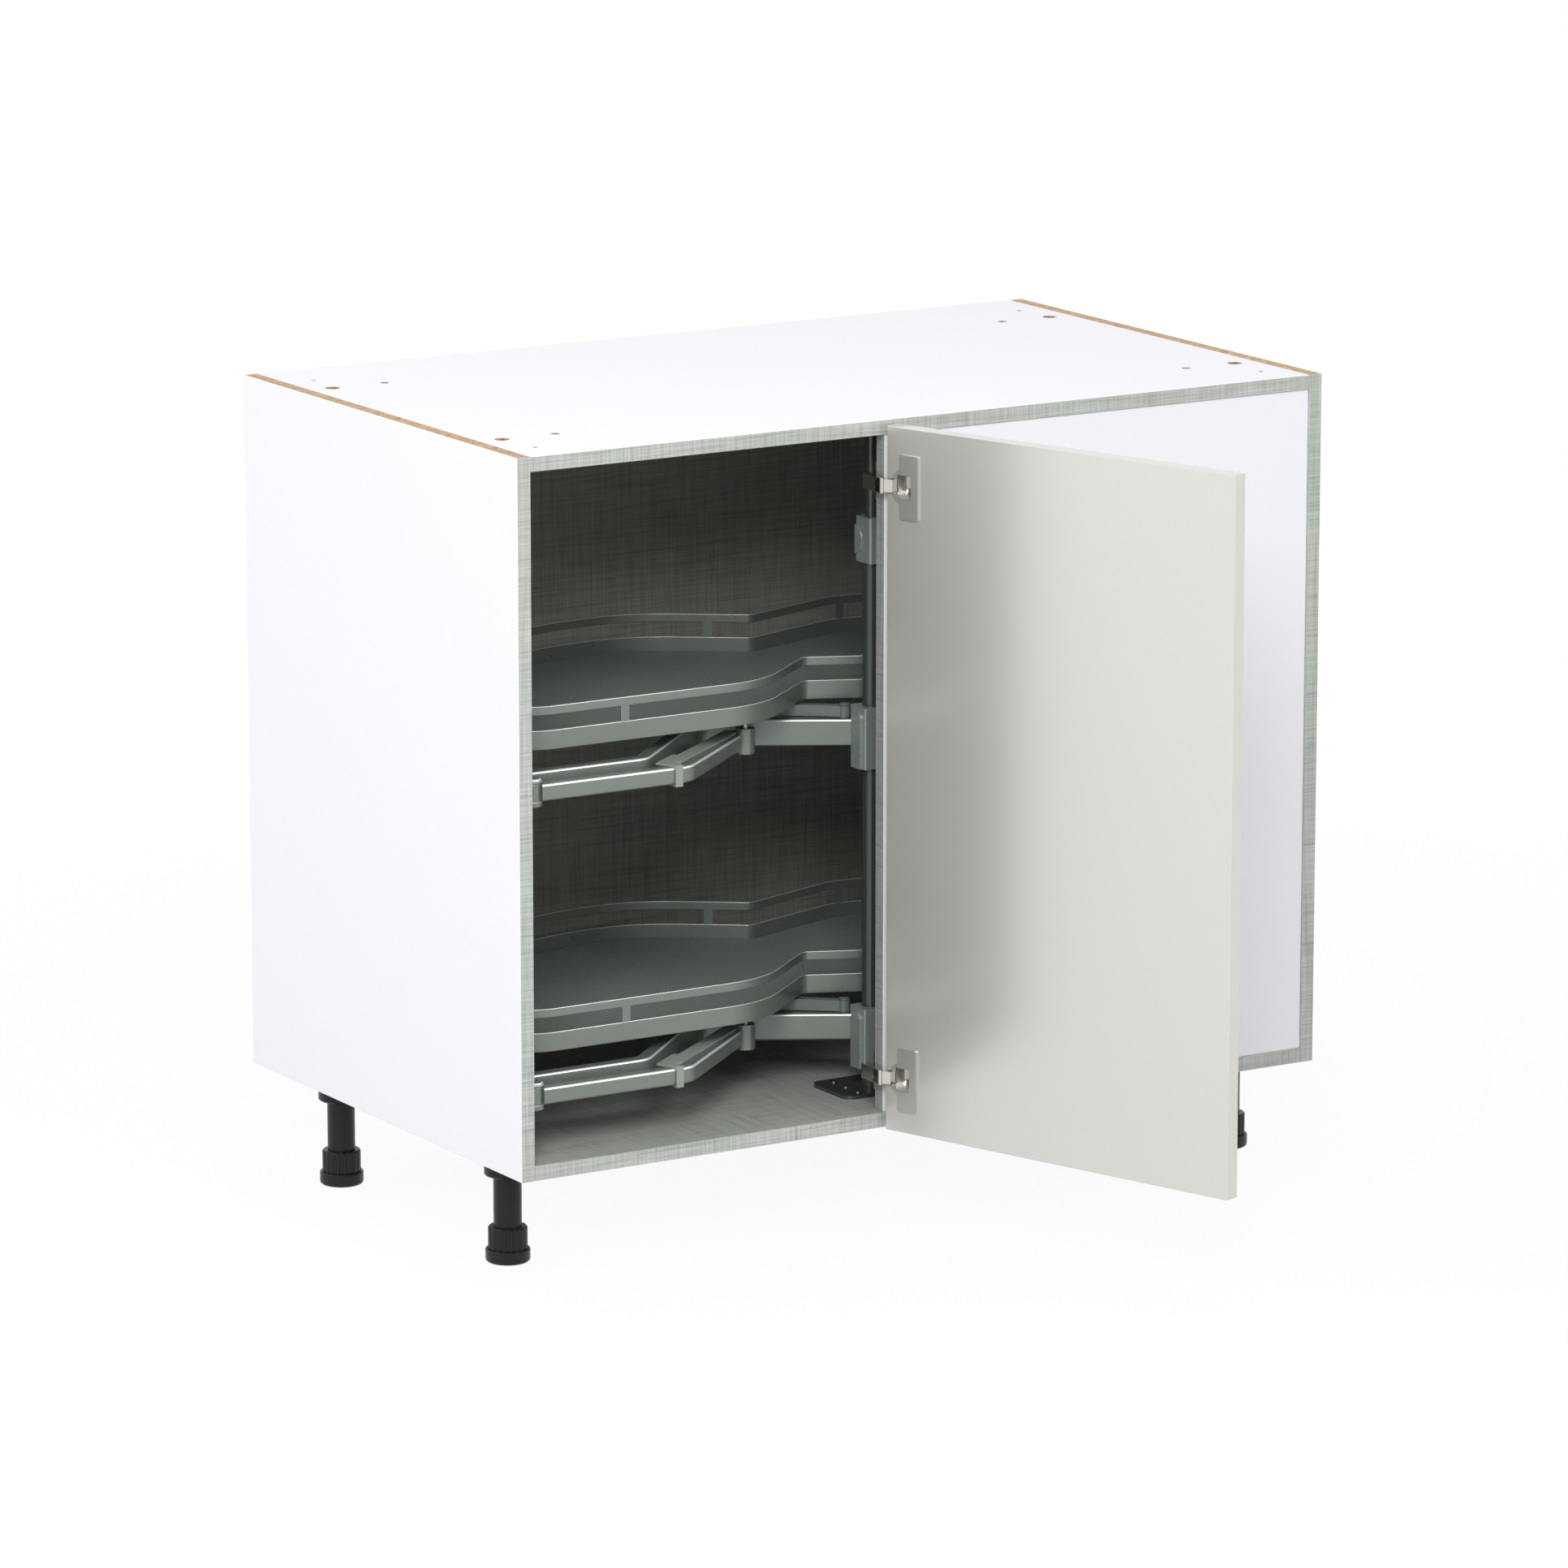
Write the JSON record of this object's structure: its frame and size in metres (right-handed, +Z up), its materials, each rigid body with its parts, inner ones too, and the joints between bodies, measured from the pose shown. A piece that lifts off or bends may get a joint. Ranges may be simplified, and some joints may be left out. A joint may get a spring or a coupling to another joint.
{
  "type": "blind corner base cabinet",
  "caption": "Open-fronted base cabinet for a blind kitchen corner with a hinged door, a column of swing-out kidney-shaped trays and adjustable legs.",
  "frame": {"origin": "on the floor, at the bottom centre of the box round the carcass and the open door", "axes": "+X to the right across the front, +Y from the front to the back, +Z up; the door stands open and the trays are in"},
  "size_m": [0.995, 1.031, 0.876],
  "materials": {
    "white_board": "white melamine decor, satin, over particle board",
    "linen_board": "light green-grey linen-pattern melamine, satin",
    "door_board": "warm light grey satin lacquer",
    "dowel_wood": "plain beech",
    "leg_plastic": "black moulded, slight sheen",
    "foot_plastic": "black moulded, slight sheen",
    "nickel": "polished nickel plate",
    "pin_steel": "bright drawn steel",
    "screw_steel": "zinc plated",
    "column_paint": "dark green-grey powder coat, satin",
    "fitting_paint": "sage grey powder coat, satin",
    "arm_paint": "sage grey powder coat, satin",
    "rail_paint": "sage grey powder coat, satin",
    "tray_board": "grey-green coated board",
    "mat_rubber": "grey-green anti-slip mat with a fine weave",
    "brass_pin": "dull brass"
  },
  "bodies": {
    "carcass": {"left_side_panel": "white_board", "right_side_panel": "white_board", "top_panel": "white_board", "bottom_panel": "linen_board", "back_panel": "linen_board", "blind_panel": "white_board", "carcass_dowels": "dowel_wood", "leg_sockets": "leg_plastic", "leg_tubes": "leg_plastic", "leg_screws": "screw_steel", "upper_hinge_arm": "nickel", "lower_hinge_arm": "nickel", "upper_hinge_plate": "nickel", "lower_hinge_plate": "nickel", "hinge_arm_pins": "pin_steel", "hinge_plate_screws": "screw_steel", "column_tube": "column_paint", "column_inner_tube": "column_paint", "column_base_plate": "column_paint", "column_top_plate": "column_paint", "column_plate_screws": "screw_steel", "column_clamp": "fitting_paint"},
    "hinge_links": {"upper_hinge_link": "nickel", "lower_hinge_link": "nickel"},
    "door": {"door": "door_board", "upper_hinge_cup": "nickel", "lower_hinge_cup": "nickel", "hinge_cup_pins": "pin_steel", "hinge_cup_dowels": "pin_steel"},
    "upper_arm": {"upper_swivel_block": "fitting_paint", "upper_main_arm": "arm_paint", "upper_barrel_pin": "arm_paint", "upper_guide_pin": "fitting_paint"},
    "upper_link": {"upper_folding_link": "arm_paint", "upper_link_strap": "arm_paint", "upper_tray_pin": "brass_pin"},
    "upper_guide": {"upper_guide_arm": "arm_paint"},
    "upper_tray": {"upper_tray_floor": "tray_board", "upper_tray_rail": "rail_paint", "upper_tray_mat": "mat_rubber"},
    "lower_arm": {"lower_swivel_block": "fitting_paint", "lower_main_arm": "arm_paint", "lower_barrel_pin": "arm_paint", "lower_guide_pin": "fitting_paint"},
    "lower_link": {"lower_folding_link": "arm_paint", "lower_link_strap": "arm_paint", "lower_tray_pin": "brass_pin"},
    "lower_guide": {"lower_guide_arm": "arm_paint"},
    "lower_tray": {"lower_tray_floor": "tray_board", "lower_tray_rail": "rail_paint", "lower_tray_mat": "mat_rubber"},
    "front_left_foot": {"front_left_collar": "leg_plastic", "front_left_foot": "foot_plastic"},
    "front_right_foot": {"front_right_collar": "leg_plastic", "front_right_foot": "foot_plastic"},
    "rear_left_foot": {"rear_left_collar": "leg_plastic", "rear_left_foot": "foot_plastic"},
    "rear_right_foot": {"rear_right_collar": "leg_plastic", "rear_right_foot": "foot_plastic"}
  },
  "joints": [
    {"name": "hinge_link_pivot", "type": "hinge", "parent": "carcass", "child": "hinge_links", "pos_m": [-0.0655, -0.08753, 0.495], "axis": [0, 0, -1], "range_deg": [-27.22, 0]},
    {"name": "door_pivot", "type": "hinge", "parent": "hinge_links", "child": "door", "pos_m": [-0.05178, -0.09348, 0.495], "axis": [0, 0, 1], "range_deg": [-136.3, 0]},
    {"name": "upper_arm_swing", "type": "hinge", "parent": "carcass", "child": "upper_arm", "pos_m": [-0.01, 0.02097, 0.515], "axis": [0, 0, 1], "range_deg": [0, 38]},
    {"name": "upper_link_fold", "type": "hinge", "parent": "upper_arm", "child": "upper_link", "pos_m": [-0.4595, -0.03903, 0.5144], "axis": [0, 0, 1], "range_deg": [-5.8, 0]},
    {"name": "upper_tray_turn", "type": "hinge", "parent": "upper_link", "child": "upper_tray", "pos_m": [-0.1455, 0.05647, 0.5495], "axis": [0, 0, 1], "range_deg": [0, 49.5]},
    {"name": "upper_guide_turn", "type": "hinge", "parent": "upper_arm", "child": "upper_guide", "pos_m": [-0.0295, 0.04397, 0.5385], "axis": [0, 0, 1], "range_deg": [0, 32]},
    {"name": "lower_arm_swing", "type": "hinge", "parent": "carcass", "child": "lower_arm", "pos_m": [-0.01, 0.02097, 0.1922], "axis": [0, 0, 1], "range_deg": [0, 38]},
    {"name": "lower_link_fold", "type": "hinge", "parent": "lower_arm", "child": "lower_link", "pos_m": [-0.4595, -0.03903, 0.1916], "axis": [0, 0, 1], "range_deg": [-5.8, 0]},
    {"name": "lower_tray_turn", "type": "hinge", "parent": "lower_link", "child": "lower_tray", "pos_m": [-0.1455, 0.05647, 0.2267], "axis": [0, 0, 1], "range_deg": [0, 49.5]},
    {"name": "lower_guide_turn", "type": "hinge", "parent": "lower_arm", "child": "lower_guide", "pos_m": [-0.0295, 0.04397, 0.2157], "axis": [0, 0, 1], "range_deg": [0, 32]},
    {"name": "front_left_foot_height", "type": "slide", "parent": "carcass", "child": "front_left_foot", "axis": [0, 0, -1], "range_m": [0, 0.02]},
    {"name": "front_right_foot_height", "type": "slide", "parent": "carcass", "child": "front_right_foot", "axis": [0, 0, -1], "range_m": [0, 0.02]},
    {"name": "rear_left_foot_height", "type": "slide", "parent": "carcass", "child": "rear_left_foot", "axis": [0, 0, -1], "range_m": [0, 0.02]},
    {"name": "rear_right_foot_height", "type": "slide", "parent": "carcass", "child": "rear_right_foot", "axis": [0, 0, -1], "range_m": [0, 0.02]}
  ],
  "couplings": [
    {"joint": "door_pivot", "follows": "hinge_link_pivot", "ratio": 5},
    {"joint": "upper_link_fold", "follows": "upper_arm_swing", "ratio": -0.15},
    {"joint": "upper_tray_turn", "follows": "upper_arm_swing", "ratio": 1.3},
    {"joint": "upper_guide_turn", "follows": "upper_arm_swing", "ratio": 0.84},
    {"joint": "lower_link_fold", "follows": "lower_arm_swing", "ratio": -0.15},
    {"joint": "lower_tray_turn", "follows": "lower_arm_swing", "ratio": 1.3},
    {"joint": "lower_guide_turn", "follows": "lower_arm_swing", "ratio": 0.84}
  ]
}
